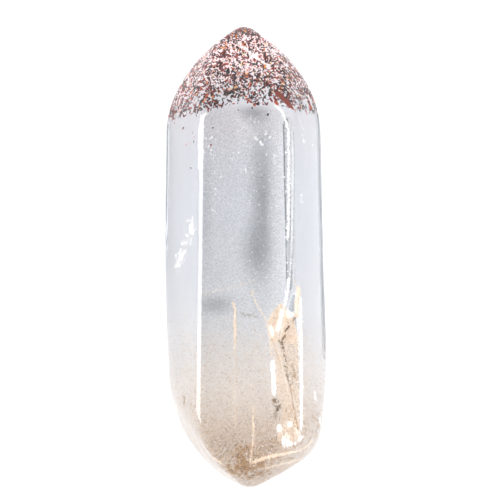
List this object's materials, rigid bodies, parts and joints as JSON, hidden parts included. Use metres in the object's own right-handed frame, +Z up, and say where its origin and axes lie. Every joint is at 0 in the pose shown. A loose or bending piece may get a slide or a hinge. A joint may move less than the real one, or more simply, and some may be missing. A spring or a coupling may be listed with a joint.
{
  "type": "lepidocrocite quartz crystal",
  "caption": "Clear tumbled quartz point lying on a prism face, with red lepidocrocite platelets under its tip and a cloudy tan root.",
  "frame": {"origin": "centre of the crystal's footprint, on the surface that it lies on", "axes": "+Y along the crystal from the broken root to the tip, +X across it, +Z up from the resting face to the front face"},
  "size_m": [0.0176, 0.05, 0.0133],
  "materials": {
    "quartz": "polished, clear, cloudy tan at the root"
  },
  "bodies": {
    "root": {"quartz_crystal": "quartz"}
  },
  "joints": []
}
